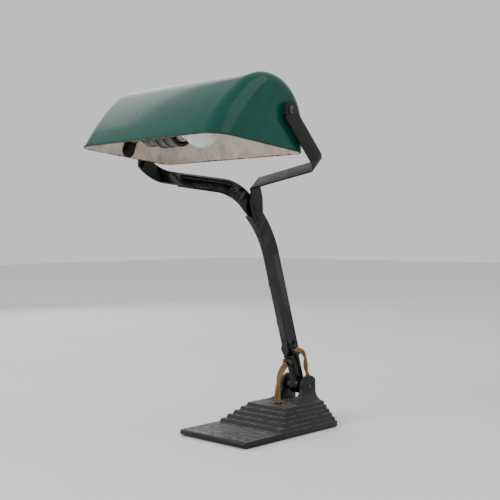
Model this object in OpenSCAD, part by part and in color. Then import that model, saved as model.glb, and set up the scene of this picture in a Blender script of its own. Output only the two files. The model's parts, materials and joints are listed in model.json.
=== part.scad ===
// Vintage desk lamp: stepped cast iron base, tilting pressed steel arm with a fork,
// and a tilting enamelled shade that carries its own lampholder.
// Millimetres. X runs to the right, Y to the back, Z up.
// The origin is the centre of the base plate's underside.

/* [Base] */
// Width of the base plate
base_w = 116; // [100:1:130]
// Length of the base plate, front to back
base_len = 180; // [176:1:200]
// Height of the plate at its rounded front lip
plate_h = 8.5; // [7:0.5:12]
// Number of steps on the pedestal
step_count = 5; // [3:1:6]
// Rise of one step
step_rise = 4.8; // [3.5:0.1:6]
// Width of the pedestal at its foot
pedestal_w = 111; // [96:1:114]
// Distance of the pedestal's front foot from the plate's front edge
pedestal_front = 68; // [55:1:75]
// Run of one step on the front
step_run_front = 8; // [6:0.5:9]
// Run of one step on each side
step_run_side = 4.7; // [3:0.1:6]

/* [Base hinge] */
// Height of the hinge pin above the table
hinge_z = 52; // [50:1:56]
// Distance of the hinge pin behind the centre of the base
hinge_y = 77; // [70:1:78]
// Radius of the round top of each ear
ear_r = 15; // [13:0.5:16]
// Half distance between the outer faces of the ears
ear_outer_x = 20.5; // [18:0.5:24]
// Thickness of each ear at the pin
ear_t = 5; // [4:0.5:5]
// Diameter of the hinge pin
pin_d = 7; // [6:0.5:8]

/* [Arm] */
// Forward lean of the stem at rest, in degrees from upright
stem_lean = 16.7; // [8:0.1:20]
// Width of the pressed stem, front to back
stem_w = 21; // [18:0.5:24]
// Depth of the pressed stem, side to side
stem_depth = 10; // [8:0.5:12]
// Sheet thickness of the stem
stem_t = 2; // [1.5:0.1:2.5]
// Radius of the stem's forward curve, at the middle of its width
curve_r = 135; // [120:1:150]
// Lean from upright of the left fork arm
left_lean = 47.6; // [44:0.1:50]
// Lean from upright of the right fork strap
right_lean = 43.3; // [40:0.1:46]
// Width of the fork straps
strap_w = 20.5; // [18:0.5:20.5]
// Thickness of the fork straps
strap_t = 2.5; // [2:0.1:3]

/* [Shade] */
// Length of the shade from end plate to end plate
shade_len = 250; // [220:1:252]
// Radius of the shade's crown
crown_r = 58; // [54:1:62]
// Radius of the long curve down to the front rim
front_r = 250; // [220:1:300]
// Radius of the rounded edges between the barrel and the end plates
corner_r = 14; // [8:1:16]
// Sheet thickness of the shade with its enamel
shade_t = 1.4; // [1:0.1:2]
// Tilt of the rim at rest, front edge up, in degrees
shade_rest = 5.7; // [0:0.1:8]
// Height of the shade's pivots above the table
pivot_z = 403; // [400:1:406]
// Distance of the shade's pivots in front of the centre of the base
pivot_y = -85.5; // [-88:0.5:-83]

/* [Lamp] */
// Diameter of the round bulb
bulb_d = 45; // [40:1:46]
// Distance of the bulb's centre to the right of the middle
bulb_x = 10; // [0:1:14]
// Distance from the shade's pivots forward to the lampholder's middle
holder_forward = 26; // [22:1:30]
// Distance from the shade's pivots down to the lampholder's middle
holder_drop = 17; // [14:1:18]

/* [Leads] */
// Diameter of the front cloth lead
front_lead_d = 8.5; // [7:0.5:9]
// Diameter of the rear cloth lead
rear_lead_d = 6.5; // [5:0.5:7]

/* [Hidden] */

$fn = 96;
slip = 0.05;          // radial clearance of a turning fit
touch = 0.02;         // gap that keeps neighbouring faces apart

// Base
front_y = -base_len / 2;
felt_t = 1;
top_z = plate_h + step_count * step_rise;
lip_r = (plate_h - felt_t) / 2;
ear_inner_x = ear_outer_x - ear_t;
pedestal_y = front_y + pedestal_front;
riser_slant_front = 3;
riser_slant_side = 1.8;
trough_z = 17;
front_hole = [1, 33];
rear_hole = [10.4, 83];
grommet_h = 1.5;
grommet_rim = 1.2;
flange_rim = 0.5;
inlet_z = 18;
inlet_r = 4;
inlet_end_y = 60;
ear_swell = 14;

// Arm, in a frame at the hinge pin that leans with the stem
boss_r = 11;
boss_x = 7;
spacer_r = 6.5;
shank_x = 6;
shank_w = 7;
passage_r = 2.7;
mouth_z = 41;
mouth_r = front_lead_d / 2 + slip;
mouth_dip = 15;
mouth_boss = 11;
mouth_end = 15;
stem_low = 47;
tongue_top = 72;
bushing_z = 53.5;
foot_rivet_z = 64;
foot_rivet_w = 5.6;
foot_rivet_r = 1.5;
straight_end = (230 - hinge_z) / cos(stem_lean);
left_turn = left_lean - stem_lean;

// Point of the leaning stem's middle, at a height along the stem
function stem_point(s) = [0, hinge_y - s * sin(stem_lean), hinge_z + s * cos(stem_lean)];
curve_start = stem_point(straight_end);
curve_mid = curve_start - curve_r * [0, cos(stem_lean), sin(stem_lean)];
curve_end = curve_mid + curve_r * [0, cos(left_lean), sin(left_lean)];

// Left fork arm: a bent path; its first coordinate runs out to the left and its
// second runs on from the top of the stem's curve
web_x = stem_depth / 2 - strap_t / 2;
left_x = 130.5;
left_corner = 44;
left_slope = 12.4;
left_r = 30;
left_top = 102;
flange_h = 5;
flange_bury = 0.8;
path_lap = 1;
flange_end = 92;
plate_inset = 0.06;     // keeps a lapped plate's faces off the strap's own faces
bead_w = 5;
bead_h = 1.2;
bead_start = 6;
bead_end = 85.5;
bead_offset = 5;

// Right fork strap: the same path from the pivot's level, out to the right
right_x = 130.5;
right_corner = -103;
right_slope = 10.8;
right_r_in = 5;
right_r_out = 13;
right_offset = -3.5;
foot_x = stem_depth / 2 + strap_t / 2;
foot_top = right_corner - right_r_in * tan((90 - right_slope) / 2);
fork_rivets_at = [[-14, 294], [-9, 281]];
fork_rivet_r = 2.2;

// Pivots
side_gap = 0.3;
screw_r = 3;
nipple_r = 5;
nipple_bore = 2.8;
pivot_end_r = 10.5;
screw_end = 116;
nipple_out = 137;
nipple_in = 116;

// Shade, in a frame at the pivots with the rim level
plate_x = shade_len / 2;
crown = [-23, -17.5];
rim_z = -44.6;
back_flare = 5.7;
front_turn = 134.7;
crown_steps = 24;
front_steps = 8;
corner_steps = 6;
front_mid = crown - (front_r - crown_r) * [cos(front_turn), sin(front_turn)];

// Lampholder, on its own middle line
bracket_t = 2.5;
bracket_x = -plate_x + shade_t + touch;
bracket_face = bracket_x + bracket_t;
bracket_tail = [-31, -35.5];
bracket_r = 9;
nut_w = 4;
cap_x = -98;
body_x = -86;
ring_x = -60;
ring_end = -26;
ring_r = 19;
body_r = 15.5;
insert_end = -45;
bulb_cap_x = -42.5;
bulb_cap_end = -17;
bulb_cap_r = 13;
bulb_r = bulb_d / 2;
glass_t = 0.8;

// Routes of the cloth leads
front_route = [
    [1, 33, 30], [1, 33, 36], [1, 33, 44], [1, 33.4, 52], [1, 34.6, 60], [0.9, 37, 67.5], [0.6, 41, 74],
    [0.3, 46.2, 79.3], [0.1, 49.6, 81.6], [0, 52.2, 83.2]
];
rear_route = [
    [8.2, 61.6, 103.2], [9.6, 61.6, 103.2], [11.3, 61.9, 103.1], [14, 65.2, 102], [15, 70, 98.5], [14.6, 74.5, 91.5], [13, 77.5, 83],
    [11.8, 80, 74], [11.3, 84, 65], [11.2, 87.2, 57], [11, 88, 48], [10.6, 85, 40], [10.4, 83, 34.5],
    [10.4, 83, 30]
];
stem_route = [
    [-1, 60.5, 107], [-1, 48.3, 148], [-1, 34, 196], [-1, 23.5, 230], [-1, 9.5, 262.5], [-1.4, -12, 289],
    [-1.4, -21.7, 297.7], [-1.6, -29, 304.4], [-3.4, -37.3, 312], [-10.4, -44, 318.1], [-20.7, -47.6, 321.4],
    [-64, -54.6, 327.8], [-100, -60.5, 333.2], [-108, -61.7, 334.3], [-121.6, -66.5, 338.7],
    [-131.2, -75.3, 346.7], [-134.7, -86.4, 356.8], [-135.4, -89, 370], [-139, -89, 385],
    [-142, -87, 396], [-141, -85.5, 402.5], [-137, -85.5, 403], [-133, -85.5, 403]
];
stem_lead_d = 4.6;
holder_route = [
    [-121, 0, 0], [-113, 0, 0], [-105, -3, 2], [-98, -9, 5], [-90, -18, 6], [-82, -24.5, 3.5],
    [-78.5, -26, -1], [-78, -26, -5]
];

// ---------------------------------------------------------------- shared shapes

// Cylinder along X from x0 to x1
module rod(x0, x1, r) {
    translate([x0, 0, 0]) rotate([0, 90, 0]) cylinder(r = r, h = x1 - x0);
}

// Ring along X
module tube(x0, x1, r_out, r_in) {
    difference() {
        rod(x0, x1, r_out);
        rod(x0 - 1, x1 + 1, r_in);
    }
}

// Hexagonal nut along X
module hex_nut(x0, x1, across, r_in) {
    difference() {
        translate([x0, 0, 0]) rotate([0, 90, 0]) cylinder(d = across / cos(30), h = x1 - x0, $fn = 6);
        rod(x0 - 1, x1 + 1, r_in);
    }
}

// Low head along X, from x to x + side * h, with a chamfered edge
module head(x, side, r, h) {
    translate([x, 0, 0]) rotate([0, side * 90, 0]) rotate_extrude()
        polygon([[0, 0], [r, 0], [r, 0.4 * h], [0.6 * r, h], [0, h]]);
}

// Rivet along X: a shank with a low head on each end
module rivet(x0, x1, r) {
    rod(x0, x1, r);
    head(x0, -1, 1.5 * r, 1.2);
    head(x1, 1, 1.5 * r, 1.2);
}

// Box with its corner at the low end of each axis range
module block(x, y, z) {
    translate([x[0], y[0], z[0]]) cube([x[1] - x[0], y[1] - y[0], z[1] - z[0]]);
}

// Places children at the hinge pin, leaning with the stem
module on_stem() {
    translate([0, hinge_y, hinge_z]) rotate([stem_lean, 0, 0]) children();
}

// Places children at the shade's pivots, tilted to its rest position
module on_shade() {
    translate([0, pivot_y, pivot_z]) rotate([-shade_rest, 0, 0]) children();
}

// Places children on the lampholder's middle line
module on_holder() {
    on_shade() translate([0, -holder_forward, -holder_drop]) children();
}

// Flat straight band between two points
module band(a, b, t) {
    run = b - a;
    translate(a) rotate(atan2(run[1], run[0])) translate([0, -t / 2]) square([norm(run), t]);
}

// Flat ring sector about c, from angle a0 to a1
module bend(c, r, a0, a1, t) {
    far = 2 * r;
    mid = (a0 + a1) / 2;
    translate(c) intersection() {
        difference() {
            circle(r = r + t / 2);
            circle(r = r - t / 2);
        }
        polygon([[0, 0], far * [cos(a0), sin(a0)], far * [cos(mid), sin(mid)], far * [cos(a1), sin(a1)]]);
    }
}

// ---------------------------------------------------------------- swept leads

function unit(v) = v / norm(v);

// Points on a smooth curve through the route's own points
function bow(p0, p1, p2, p3, t) =
    0.5 * (2 * p1 + (p2 - p0) * t + (2 * p0 - 5 * p1 + 4 * p2 - p3) * t * t
        + (3 * p1 - p0 - 3 * p2 + p3) * t * t * t);
function smooth(route, parts) = let (n = len(route)) [
    for (i = [0:n - 2], k = [0:parts - 1])
        bow(route[max(i - 1, 0)], route[i], route[i + 1], route[min(i + 2, n - 1)], k / parts),
    route[n - 1]
];
function tangent(p, i) = unit(p[min(i + 1, len(p) - 1)] - p[max(i - 1, 0)]);

// Side direction carried along the curve, so that the tube doesn't twist
function carried(p, i, side) =
    i == len(p) ? [] :
    let (t = tangent(p, i), s = unit(side - (side * t) * t)) concat([s], carried(p, i + 1, s));

// Tube along a route; a closed polyhedron with flat ends
module cord(route, d, sides = 10, parts = 3) {
    p = smooth(route, parts);
    side = carried(p, 0, [1, 0.13, 0.07]);
    rings = [
        for (i = [0:len(p) - 1], k = [0:sides - 1])
            let (t = tangent(p, i), s = side[i], u = cross(t, s), a = 360 * k / sides)
                p[i] + d / 2 * (cos(a) * s + sin(a) * u)
    ];
    last = (len(p) - 1) * sides;
    walls = [
        for (i = [0:len(p) - 2], k = [0:sides - 1])
            let (a = i * sides + k, b = i * sides + (k + 1) % sides) [a, a + sides, b + sides, b]
    ];
    polyhedron(rings, concat(walls, [[for (k = [0:sides - 1]) k]],
        [[for (k = [sides - 1:-1:0]) last + k]]), convexity = 6);
}

// ---------------------------------------------------------------- base

// Frustum step: straight back, slanted front and sides, from height z0 to z1
module step(front, back, half_w, z0, z1) {
    side = riser_slant_side;
    intersection() {
        translate([-half_w, 0, 0]) rotate([90, 0, 90]) linear_extrude(2 * half_w)
            polygon([[front, z0], [back, z0], [back, z1], [front + riser_slant_front, z1]]);
        translate([0, back + 1, 0]) rotate([90, 0, 0]) linear_extrude(back - front + 2)
            polygon([[-half_w, z0], [half_w, z0], [half_w - side, z1], [side - half_w, z1]]);
    }
}

// Side outline of one ear: a round top on concave flared feet
module ear_outline() {
    rise = hinge_z - top_z;
    flare = rise + 4;
    reach = ear_r + flare - 1;
    circle(r = ear_r);
    difference() {
        translate([-reach, -rise - 1]) square([2 * reach, rise + 1]);
        for (side = [-1, 1]) translate([side * reach, flare - rise]) circle(r = flare);
    }
}

// Front outline of one ear's swelling foot, thicker towards the pedestal
module ear_foot_outline() {
    translate([ear_inner_x, top_z - 1]) square([ear_t + ear_swell, ear_swell + 1]);
}

module ears() {
    for (side = [0, 1]) mirror([side, 0, 0]) {
        translate([ear_inner_x, hinge_y, hinge_z]) rotate([90, 0, 90]) linear_extrude(ear_t) ear_outline();
        difference() {
            intersection() {
                translate([ear_inner_x, hinge_y, hinge_z]) rotate([90, 0, 90])
                    linear_extrude(ear_t + ear_swell) ear_outline();
                translate([0, base_len / 2, 0]) rotate([90, 0, 0]) linear_extrude(base_len)
                    ear_foot_outline();
            }
            translate([ear_outer_x + ear_swell, base_len, top_z + ear_swell]) rotate([90, 0, 0])
                cylinder(r = ear_swell, h = 2 * base_len);
        }
    }
}

module base_casting() {
    plate_front = front_y + lip_r;
    color("#26292a") difference() {
        union() {
            block([-base_w / 2, base_w / 2], [plate_front, base_len / 2], [felt_t, plate_h]);
            translate([-base_w / 2, plate_front, felt_t + lip_r]) rod(0, base_w, lip_r);
            for (i = [0:step_count - 1])
                step(pedestal_y + i * step_run_front, base_len / 2 - 0.5, pedestal_w / 2 - i * step_run_side,
                    plate_h + i * step_rise - 1, plate_h + (i + 1) * step_rise);
            intersection() {
                ears();
                block([-base_w, base_w], [-base_len, base_len / 2 - 0.5], [0, base_len]);
            }
        }
        translate([0, hinge_y, hinge_z]) rod(-base_w, base_w, pin_d / 2 + slip);
        translate([front_hole[0], front_hole[1], trough_z - 1])
            cylinder(r = front_lead_d / 2 + grommet_rim, h = base_len);
        translate([rear_hole[0], rear_hole[1], trough_z - 1])
            cylinder(r = rear_lead_d / 2 + grommet_rim, h = top_z - trough_z + 2);
        translate([0, base_len, inlet_z]) rotate([90, 0, 0])
            cylinder(r = inlet_r + 1, h = base_len - inlet_end_y);
        block([-14, 18], [front_hole[1] - 6, base_len / 2 - 10], [0, trough_z]);
    }
}

module base_felt() {
    margin = 2;
    color("#2c4a36")
        block([margin - base_w / 2, base_w / 2 - margin], [front_y + 5, base_len / 2 - margin], [0, felt_t]);
}

// Flanged ring that lines a lead's hole in the top of the pedestal
module grommet(at, lead_r) {
    sleeve = 6;
    translate([at[0], at[1], top_z]) difference() {
        union() {
            cylinder(r = lead_r + grommet_rim + flange_rim, h = grommet_h);
            translate([0, 0, -sleeve]) cylinder(r = lead_r + grommet_rim - slip, h = sleeve);
        }
        translate([0, 0, -sleeve - 1]) cylinder(r = lead_r + slip, h = sleeve + grommet_h + 2);
    }
}

module front_grommet() {
    color("#1c1c1c") grommet(front_hole, front_lead_d / 2);
}

module rear_grommet() {
    color("#1c1c1c") grommet(rear_hole, rear_lead_d / 2);
}

module mains_inlet() {
    back = base_len / 2 - 0.5;
    color("#1c1c1c") translate([0, back, inlet_z]) rotate([90, 0, 0]) difference() {
        union() {
            cylinder(r = inlet_r + 1 - slip, h = 9);
            translate([0, 0, -2]) cylinder(r = inlet_r + 3, h = 2);
        }
        translate([0, 0, -3]) cylinder(r = inlet_r - 0.6, h = 14);
    }
}

module hinge_pin() {
    color("#9a9a94") translate([0, hinge_y, hinge_z]) {
        rod(-ear_outer_x, ear_outer_x, pin_d / 2);
        for (side = [-1, 1]) head(side * ear_outer_x, side, pin_d / 2, 1.2);
    }
}

module hinge_spacers() {
    color("#8a7a4a") translate([0, hinge_y, hinge_z])
        for (side = [0, 1]) mirror([side, 0, 0])
            tube(boss_x + slip, ear_inner_x - touch, spacer_r, pin_d / 2 + slip);
}

module lead_front() {
    color("#9a7434") cord(front_route, front_lead_d);
}

module lead_rear() {
    color("#9a7434") cord(rear_route, rear_lead_d);
}

// ---------------------------------------------------------------- arm

module arm_foot() {
    shoulder = 5;
    inner_x = stem_depth / 2 - stem_t - touch;
    outer_x = -stem_depth / 2 + touch;
    tongue_w = stem_w / 2 - stem_t - touch;
    color("#1a1a1a") on_stem() difference() {
        union() {
            rod(-boss_x, boss_x, boss_r);
            block([-shank_x, shank_x], [-shank_w, shank_w], [0, stem_low - touch]);
            block([-shank_x, shank_x], [-stem_w / 2, stem_w / 2], [stem_low - shoulder, stem_low - touch]);
            block([outer_x, inner_x], [-tongue_w, tongue_w], [stem_low - 1, tongue_top]);
            at_mouth() cylinder(r = mouth_r + 1.6, h = mouth_boss);
        }
        rod(-base_w, base_w, pin_d / 2 + slip);
        translate([-1, 0, mouth_z]) cylinder(r = passage_r, h = tongue_top);
        at_mouth() cylinder(r = mouth_r, h = base_w);
        foot_rivet_places() rod(-base_w, base_w, foot_rivet_r + slip);
    }
}

// Places children on the lead's mouth in the front of the foot, which points down and forwards
module at_mouth() {
    translate([0, 0, mouth_z]) rotate([90 + mouth_dip, 0, 0]) children();
}

module foot_rivet_places() {
    for (side = [-1, 1]) translate([0, side * foot_rivet_w, foot_rivet_z]) children();
}

module foot_rivets() {
    color("#1a1a1a") on_stem() foot_rivet_places() rivet(-stem_depth / 2, stem_depth / 2, foot_rivet_r);
}

module foot_bushing() {
    rim_r = mouth_r + 3;
    color("#151515") on_stem() at_mouth() difference() {
        union() {
            translate([0, 0, mouth_boss + touch]) cylinder(r = rim_r, h = 2.5);
            translate([0, 0, mouth_boss + touch]) cylinder(r = rim_r - 1.2, h = mouth_end - mouth_boss);
        }
        cylinder(r = mouth_r, h = base_w);
    }
}

// Cross-section of the pressed stem, open to the left
module channel_section() {
    wall_w = stem_w - 2 * stem_t;
    difference() {
        translate([-stem_depth / 2, -stem_w / 2]) square([stem_depth, stem_w]);
        translate([-stem_depth / 2 - 1, -wall_w / 2]) square([stem_depth - stem_t + 1, wall_w]);
    }
}

// Path of a fork side, flat: up, out at a slope, and up again to the pivot
module fork_path(x_in, x_out, corner, slope, r_in, r_out, low, high, t) {
    reach = tan((90 - slope) / 2);
    first = [x_in + r_in, corner - r_in * reach];
    second = [x_out - r_out, corner + (x_out - x_in) * tan(slope) + r_out * reach];
    band([x_in, low], [x_in, first[1]], t);
    bend(first, r_in, 90 + slope, 180, t);
    band(first + r_in * [-sin(slope), cos(slope)], second + r_out * [sin(slope), -cos(slope)], t);
    bend(second, r_out, slope - 90, 0, t);
    band([x_out, second[1]], [x_out, high], t);
}

// Places a fork side's flat path: its second coordinate leans forward by lean
module on_fork(lean, across, width) {
    rotate([90 + lean, 0, 0]) translate([0, 0, -across]) linear_extrude(width, center = true) children();
}

// The left arm's path, moved to its hollow side by shift
module left_path(t, shift) {
    corner = left_corner + shift * tan(left_slope) - shift / cos(left_slope);
    fork_path(shift - web_x, left_x + shift, corner, left_slope, left_r - shift, left_r + shift,
        -path_lap, left_top, t);
}

// Plate in the plane of Y and Z, from x0 to x1
module plate(x0, x1) {
    translate([x0, 0, 0]) rotate([90, 0, 90]) linear_extrude(x1 - x0) children();
}

// Places children on the stem's curve, a turn of angle from the stem's lean: first axis
// across the stem, second along it, third to the right
module on_curve(angle) {
    translate(curve_mid) rotate([90, 0, 90]) rotate([0, 0, stem_lean + angle]) translate([curve_r, 0, 0])
        children();
}

// Extrudes the left arm's flat path across the arm
module across_arm(across, width) {
    on_curve(left_turn) translate([across, 0, 0]) rotate([0, 90, 0]) linear_extrude(width, center = true)
        children();
}

module left_arm() {
    edge = strap_w / 2 - stem_t / 2;
    half = strap_w / 2 - plate_inset;
    along = [-sin(left_lean), cos(left_lean)];
    across = [cos(left_lean), sin(left_lean)];
    end = [curve_end[1], curve_end[2]] + left_top * along;
    across_arm(0, strap_w) left_path(strap_t, 0);
    for (side = [-1, 1])
        across_arm(side * edge, stem_t) intersection() {
            left_path(flange_h - flange_bury, (flange_h - strap_t + flange_bury) / 2);
            translate([-web_x - strap_t, -path_lap]) square([flange_end, left_top]);
        }
    across_arm(bead_offset, bead_w) intersection() {
        left_path(strap_t / 2 + bead_h, -(strap_t / 2 + bead_h) / 2);
        translate([bead_start, 1]) square([bead_end - bead_start, left_top]);
    }
    plate(-left_x - strap_t / 2 + plate_inset, -left_x + strap_t / 2 - plate_inset) {
        translate([pivot_y, pivot_z]) circle(r = pivot_end_r);
        polygon([
            end - half * across - along, end + half * across - along,
            end + half * across, [pivot_y + pivot_end_r - 1, pivot_z], [pivot_y - pivot_end_r + 1, pivot_z],
            end - half * across
        ]);
    }
}

module stem() {
    color("#141414") difference() {
        union() {
            on_curve(0) rotate([90, 0, 0]) linear_extrude(straight_end - stem_low) mirror([1, -1])
                channel_section();
            on_curve(0) translate([-curve_r, 0, 0]) rotate_extrude(angle = left_turn)
                translate([curve_r, 0]) mirror([1, -1]) channel_section();
            left_arm();
        }
        on_stem() {
            foot_rivet_places() rod(-base_w, base_w, foot_rivet_r + slip);
            translate([0, 0, bushing_z]) rod(0, base_w, rear_lead_d / 2 + 1.5);
        }
        for (at = fork_rivets_at) translate([0, at[0], at[1]]) rod(0, base_w, fork_rivet_r + slip);
        translate([0, pivot_y, pivot_z]) rod(-2 * base_w, 0, nipple_r + slip);
    }
}

module stem_bushing() {
    face = stem_depth / 2;
    color("#151515") on_stem() translate([0, 0, bushing_z]) difference() {
        union() {
            rod(face - stem_t + touch, face + 1, rear_lead_d / 2 + 1.5 - slip);
            rod(face + touch, face + 3, rear_lead_d / 2 + 2.6);
        }
        rod(-1, base_w, rear_lead_d / 2 + slip);
    }
}

module channel_keeper() {
    face = -stem_depth / 2 - touch;
    color("#151515") on_stem() translate([0, 0, bushing_z]) {
        block([face - 1.5, face], [-stem_w / 2, stem_w / 2], [-5, 5]);
        rod(face - 7, face - 1, 6.5);
    }
}

module lead_clips() {
    face = -stem_depth / 2 - touch;
    color("#1a1a1a") on_stem()
        for (z = [95, 150])
            block([face - 0.8, face], [-stem_w / 2, stem_w / 2], [z - 4, z + 4]);
}

module fork_strap() {
    along = [-sin(right_lean), cos(right_lean)];
    across = [cos(right_lean), sin(right_lean)];
    start = [pivot_y, pivot_z] + foot_top * along + right_offset * across;
    half = strap_w / 2 - plate_inset;
    lower = start - half * across;
    upper = start + half * across;
    last = fork_rivets_at[1];
    tail = half - 1;
    color("#1f1f1f") difference() {
        union() {
            translate([0, pivot_y, pivot_z]) on_fork(right_lean, right_offset, strap_w)
                fork_path(foot_x, right_x, right_corner, right_slope, right_r_in, right_r_out,
                    foot_top - 0.5, 0, strap_t);
            plate(right_x - strap_t / 2 + plate_inset, right_x + strap_t / 2 - plate_inset)
                translate([pivot_y, pivot_z]) circle(r = pivot_end_r);
            plate(foot_x - strap_t / 2 + plate_inset, foot_x + strap_t / 2 - plate_inset) {
                translate(last) circle(r = half);
                polygon([
                    lower, upper, [-1, 308], last + tail * [0.94, 0.34], last - tail * [0.94, 0.34],
                    [-26, 302]
                ]);
            }
        }
        for (at = fork_rivets_at) translate([0, at[0], at[1]]) rod(0, base_w, fork_rivet_r + slip);
        translate([0, pivot_y, pivot_z]) rod(0, 2 * base_w, screw_r + slip);
    }
}

module fork_rivets() {
    color("#3a3a3a")
        for (at = fork_rivets_at) translate([0, at[0], at[1]])
            rivet(stem_depth / 2 - strap_t - touch, foot_x + strap_t / 2, fork_rivet_r);
}

module lead_stem() {
    color("#9a7434") cord(stem_route, stem_lead_d, 8);
}

module right_pivot_screw() {
    face = right_x + strap_t / 2;
    head_h = 3;
    slot = 1.2;
    color("#b8b8b0") translate([0, pivot_y, pivot_z]) difference() {
        union() {
            rod(screw_end, face, screw_r);
            head(face, 1, 5, head_h);
        }
        block([face + head_h - slot, face + 2 * head_h], [-slot / 2, slot / 2], [-6, 6]);
    }
}

module right_pivot_spacer() {
    color("#6a6a64") translate([0, pivot_y, pivot_z])
        tube(plate_x + side_gap, right_x - strap_t / 2 - touch, 8, screw_r + slip);
}

module right_inner_washer() {
    color("#8c8c86") translate([0, pivot_y, pivot_z])
        tube(plate_x - shade_t - 1.5, plate_x - shade_t - side_gap, 8, screw_r + slip);
}

module right_inner_nut() {
    outer = plate_x - shade_t - 1.5 - touch;
    color("#8c8c86") translate([0, pivot_y, pivot_z]) hex_nut(outer - 5, outer, 10, screw_r + slip);
}

module left_pivot_nipple() {
    color("#a88a3c") translate([0, pivot_y, pivot_z]) tube(-nipple_out, -nipple_in, nipple_r, nipple_bore);
}

module left_outer_nut() {
    face = -left_x - strap_t / 2 - touch;
    color("#a88a3c") translate([0, pivot_y, pivot_z]) hex_nut(face - nut_w, face, 14, nipple_r + slip);
}

module left_pivot_spacer() {
    color("#6a6a64") translate([0, pivot_y, pivot_z])
        tube(-left_x + strap_t / 2 + touch, -plate_x - side_gap, 8, nipple_r + slip);
}

module left_inner_nut() {
    face = bracket_face + side_gap;
    color("#a88a3c") translate([0, pivot_y, pivot_z]) hex_nut(face, face + nut_w, 14, nipple_r + slip);
}

// ---------------------------------------------------------------- shade

// Side outline of the shade's skin moved inwards by inset, from the back rim over to the front rim
function skin(inset) = let (
    foot = crown + (crown_r - inset) * [cos(back_flare), sin(back_flare)],
    drop = (foot[1] - rim_z) / cos(back_flare),
    front_end = 180 - asin((rim_z - front_mid[1]) / (front_r - inset))
) [
    foot + drop * [sin(back_flare), -cos(back_flare)],
    for (i = [0:crown_steps]) let (a = back_flare + (front_turn - back_flare) * i / crown_steps)
        crown + (crown_r - inset) * [cos(a), sin(a)],
    for (i = [1:front_steps]) let (a = front_turn + (front_end - front_turn) * i / front_steps)
        front_mid + (front_r - inset) * [cos(a), sin(a)]
];

// Grid of points over the skin: its columns run round the rounded edges from end to end
function skin_grid(inset) = let (corner = corner_r - inset, flat_x = plate_x - corner_r) [
    for (side = [-1, 1], i = [0:corner_steps])
        let (a = 90 * (side < 0 ? 1 - i / corner_steps : i / corner_steps))
            for (p = skin(inset + corner * (1 - cos(a)))) [side * (flat_x + corner * sin(a)), p[0], p[1]]
];

// Grid cells as faces, wound either way
function cells(first, columns, rows, flip) = [
    for (j = [0:columns - 2], i = [0:rows - 2])
        let (a = first + j * rows + i, b = a + rows, quad = [a, a + 1, b + 1, b])
            flip ? [quad[3], quad[2], quad[1], quad[0]] : quad
];

// Pressed shell: an outer and an inner skin, flat end plates and a level rim between them
module shade_shell() {
    rows = crown_steps + front_steps + 2;
    columns = 2 * (corner_steps + 1);
    inner = rows * columns;
    last = rows * (columns - 1);
    loop = concat([for (j = [0:columns - 1]) j * rows], [for (j = [columns - 1:-1:0]) j * rows + rows - 1]);
    plates = [
        [for (i = [rows - 1:-1:0]) i], [for (i = [0:rows - 1]) last + i],
        [for (i = [0:rows - 1]) inner + i], [for (i = [rows - 1:-1:0]) inner + last + i]
    ];
    rim = [
        for (k = [0:len(loop) - 1]) let (a = loop[k], b = loop[(k + 1) % len(loop)])
            [a, b, inner + b, inner + a]
    ];
    polyhedron(concat(skin_grid(0), skin_grid(shade_t)),
        concat(cells(0, columns, rows, false), cells(inner, columns, rows, true), plates, rim), convexity = 4);
}

module shade() {
    color("#0f6a55") on_shade() difference() {
        shade_shell();
        rod(0, shade_len, screw_r + slip);
        rod(-shade_len, 0, nipple_r + slip);
    }
}

// ---------------------------------------------------------------- lampholder

module lampholder_bracket() {
    holder = [-holder_forward, -holder_drop];
    color("#1a1a1a") on_shade() difference() {
        plate(bracket_x, bracket_face) {
            circle(r = bracket_r);
            translate(holder) circle(r = bracket_r + 1);
            translate(bracket_tail) circle(r = bracket_r);
            band([0, 0], holder, 2 * bracket_r - 0.6);
            band(holder, bracket_tail, 2 * bracket_r - 0.6);
        }
        rod(-shade_len, 0, nipple_r + slip);
        translate([0, holder[0], holder[1]]) rod(-shade_len, 0, nipple_r + slip);
    }
}

module holder_nipple() {
    color("#a88a3c") on_holder() tube(bracket_x + touch, cap_x + 4, nipple_r, nipple_bore);
}

module holder_nuts() {
    color("#a88a3c") on_holder() {
        hex_nut(bracket_face + touch, bracket_face + nut_w, 14, nipple_r + slip);
        hex_nut(cap_x - nut_w, cap_x - touch, 14, nipple_r + slip);
    }
}

module holder_cap() {
    entry = -78;
    color("#8c8a80") on_holder() difference() {
        rotate([0, 90, 0]) rotate_extrude() polygon([
            [0, cap_x], [9, cap_x], [body_r, body_x], [body_r, body_x + 12], [body_r - 1.2, body_x + 12],
            [body_r - 1.2, body_x + 0.5], [8.3, cap_x + 1.2], [0, cap_x + 1.2]
        ]);
        rod(-shade_len, cap_x + 5, nipple_r + slip);
        translate([entry, 0, 0]) cylinder(r = stem_lead_d / 2 + slip, h = ring_r);
    }
}

module holder_body() {
    color("#8c8a80") on_holder() tube(body_x + 12 + touch, ring_x - touch, body_r, body_r - 1.2);
}

module holder_ring() {
    color("#141414") on_holder() difference() {
        union() {
            rod(ring_x, ring_end, ring_r - 1);
            for (x = [ring_x, -46, ring_end - 4]) rod(x, x + 4, ring_r);
        }
        rod(ring_x - 1, ring_end + 1, body_r + touch);
    }
}

module holder_contacts() {
    back = -62;
    color("#d8d2c4") on_holder() difference() {
        union() {
            rod(back, insert_end, body_r - 1.4);
            rod(ring_x + touch, insert_end, body_r);
        }
        rod(insert_end - 2, 0, 4);
        for (side = [-1, 1]) translate([0, side * 8, 0]) rod(back - 1, back + 5, 2);
    }
}

module lead_holder() {
    color("#9a7434") on_shade() cord(holder_route, stem_lead_d, 8);
}

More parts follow.
